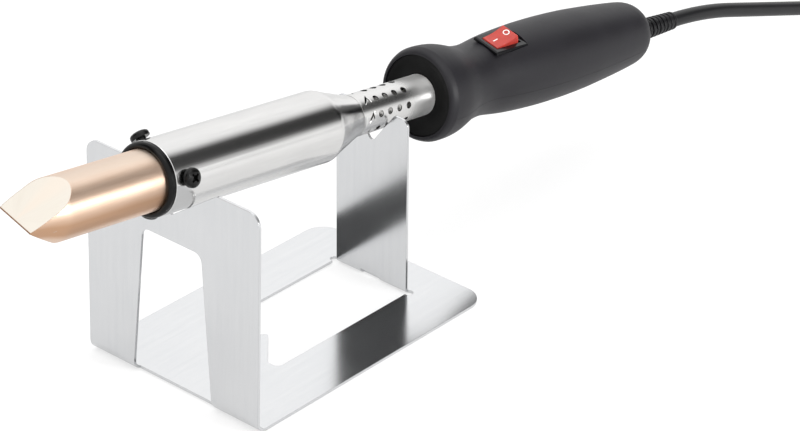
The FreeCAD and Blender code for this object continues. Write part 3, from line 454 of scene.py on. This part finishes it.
def dress_pieces():
    """Give each piece its slot's material, or one of its own."""
    by_slot = {slot: make(slot, **settings) for slot, (make, settings) in SLOT_MATERIALS.items()}
    own = {"handle_front_disc": dish_plastic("handle_dish"),
           "neck_tube": neck_steel("neck_steel")}
    slots = {part["node"]: part["material_slot"] for part in frame["record"]["subparts"]}
    for name, piece in frame["nodes"].items():
        piece.data.materials.clear()
        piece.data.materials.append(own.get(name) or by_slot[slots[name]])


# ------------------------------------------------------------ marks on the rocker
def add_mesh(name, bm):
    mesh = bpy.data.meshes.new(name)
    bm.to_mesh(mesh)
    bm.free()
    return add_object(name, mesh)


def add_object(name, data):
    item = bpy.data.objects.new(name, data)
    scene.collection.objects.link(item)
    return item


def rocker_point(x, u, lift):
    """A point lifted off the rocker's dished face."""
    v = ROCKER_FACE + ROCKER_DISH * (u / ROCKER_DISH_U) ** 2 + lift
    s = PIVOT_S + u * math.cos(ROCKER_TURN) - v * math.sin(ROCKER_TURN)
    w = PIVOT_W + u * math.sin(ROCKER_TURN) + v * math.cos(ROCKER_TURN)
    return handle_point(x, s, w)


def add_mark(name, outline, closed):
    """A thin raised mark from pairs of (x, u) points on its two sides."""
    bm = bmesh.new()
    sections = []
    for (xa, ua), (xb, ub) in outline:
        sections.append([
            bm.verts.new(rocker_point(xa * (1 - k) + xb * k, ua * (1 - k) + ub * k, lift))
            for k, lift in MARK_SECTION])
    following = sections[1:] + (sections[:1] if closed else [])
    size = len(MARK_SECTION)
    for a, b in zip(sections, following):
        for j in range(size):
            k = (j + 1) % size
            bm.faces.new((a[j], a[k], b[k], b[j]))
    if not closed:
        bm.faces.new(sections[0])
        bm.faces.new(list(reversed(sections[-1])))
    bmesh.ops.recalc_face_normals(bm, faces=bm.faces)
    mark = add_mesh(name, bm)
    white = plain_plastic("mark_white", (0.86, 0.86, 0.85), roughness=0.45, bump=0.03)
    mark.data.materials.append(white)
    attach(mark, "rocker")


def add_marks():
    ring = []
    for i in range(RING_STEPS):
        turn = 2 * math.pi * i / RING_STEPS
        ring.append([(RING_X + radius * math.cos(turn), RING_U + radius * math.sin(turn))
                     for radius in (RING_INNER, RING_OUTER)])
    add_mark("rocker_mark_off", ring, closed=True)
    stations = [BAR_U + BAR_LENGTH * i / BAR_STEPS for i in range(BAR_STEPS + 1)]
    add_mark("rocker_mark_on", [((BAR_X0, u), (BAR_X1, u)) for u in stations], closed=False)


# ------------------------------------------------------------ floor
def add_floor():
    bm = bmesh.new()
    bmesh.ops.create_grid(bm, x_segments=8, y_segments=8, size=FLOOR_HALF)
    floor = add_mesh("studio_floor", bm)
    floor.location = (0, 0, FLOOR_Z)
    m = Mat("floor_pale")
    soft = m.noise(scale=3.0, detail=2.0, roughness=0.5)
    # The floor glows a little brighter to the camera than to the object
    seen = m.add("LightPath").outputs["Is Camera Ray"]
    m.set(Base_Color=m.ramp(soft, [(0.3, 0.42), (0.7, 0.43)]), Roughness=0.9,
          Specular_IOR_Level=0.0, Emission_Color=(1.0, 1.0, 1.0, 1.0),
          Emission_Strength=m.scaled(seen, span=0.16, start=0.42))
    floor.data.materials.append(m.material)


# ------------------------------------------------------------ light
# Bands round the iron's axis: degrees from up (positive towards +X), brightness.
# A pale tent, one long black screen, then a bright strip low on the +X side.
BANDS = [
    (-120, 1.10), (-85, 1.08), (-61, 1.14), (-45, 1.20), (-31, 1.24), (-19, 1.20), (-8, 1.14),
    (2, 0.96), (11, 0.45), (20, 0.04), (31, 0.015), (41, 0.015), (51, 0.04), (59, 0.18),
    (66, 0.66), (75, 1.00), (85, 0.78), (100, 0.70), (125, 0.95),
]
BAND_SCALE = 1.6  # keeps the ramp's colours below 1


def patch(sky, direction, inner, outer):
    """1 inside the inner angle from a direction, easing to 0 at the outer one (degrees)."""
    inputs = {"Value": sky.dot(sky.place, Vector(direction).normalized()),
              "From Min": math.cos(math.radians(outer)),
              "From Max": math.cos(math.radians(inner))}
    return sky.add("MapRange", inputs, interpolation_type="SMOOTHSTEP").outputs[0]


def darken(sky, level, area, amount):
    left = sky.math("SUBTRACT", 1.0, sky.times(area, amount), clamp=True)
    return sky.times(level, left)


def add_world():
    """The bands near the handle end of the axis, a plain pale tent elsewhere."""
    world = bpy.data.worlds.new("studio")
    scene.world = world
    sky = Shader(world, "Background", "OutputWorld", "Generated")
    turn = sky.math("ARCTAN2", sky.dot(sky.place, LEVEL_X), sky.dot(sky.place, LEVEL_UP))
    turn = sky.plus(sky.times(turn, 0.5 / math.pi), 0.5)
    stops = [(degrees / 360.0 + 0.5, value / BAND_SCALE) for degrees, value in BANDS]
    bands = sky.times(sky.ramp(turn, stops), BAND_SCALE)
    near_axis = patch(sky, AXIS, inner=52.0, outer=68.0)
    zenith = patch(sky, (0.0, 0.0, 1.0), inner=20.0, outer=50.0)
    tent = sky.plus(1.16, sky.times(zenith, 0.22))
    level = sky.plus(sky.times(bands, near_axis),
                     sky.times(tent, sky.math("SUBTRACT", 1.0, near_axis)))
    # Two dark patches: high towards -X -Y, and low towards +Y
    dark_front = patch(sky, (-0.571, -0.655, 0.494), inner=12.0, outer=24.0)
    level = darken(sky, level, dark_front, amount=0.95)
    screen_end = patch(sky, (-0.01, 0.99, 0.07), inner=6.0, outer=12.0)
    level = darken(sky, level, screen_end, amount=0.88)
    sky.set(Strength=level, Color=(1.0, 1.0, 1.0, 1.0))


def add_area(name, location, target, size, power):
    light = bpy.data.lights.new(name, "AREA")
    light.shape = "RECTANGLE"
    light.size = size
    light.size_y = size
    light.energy = power
    lamp = add_object(name, light)
    lamp.location = location
    lamp.rotation_mode = "QUATERNION"
    aim = Vector(target) - Vector(location)
    lamp.rotation_quaternion = aim.to_track_quat("-Z", "Y")


# ------------------------------------------------------------ camera
def add_camera():
    lens = bpy.data.cameras.new("camera")
    lens.sensor_width = 36.0
    lens.lens = 142.330725
    lens.clip_start = 0.05
    lens.clip_end = 20.0
    camera = add_object("camera", lens)
    right = (0.75004756, 0.66131727, 0.00938756)
    up = (-0.33310769, 0.36546319, 0.86918118)
    back = (0.57137372, -0.65505429, 0.49440464)
    turn = Matrix((right, up, back)).transposed().to_4x4()
    place = Vector((0.76136472, -0.75863854, 0.68184041))
    camera.matrix_world = Matrix.Translation(place) @ turn
    scene.camera = camera


dress_pieces()
add_marks()
add_floor()
add_world()
add_area("key_top", location=(0.25, 0.1, 1.6), target=(0, 0.1, 0.05), size=1.2, power=4.0)
add_area("side_right", location=(1.0, 0.32, 0.32), target=(0, 0.12, 0.06), size=0.30, power=5.0)
add_camera()

scene.view_settings.view_transform = "Standard"
scene.view_settings.look = "None"
scene.view_settings.exposure = 0.0
scene.view_settings.gamma = 1.0
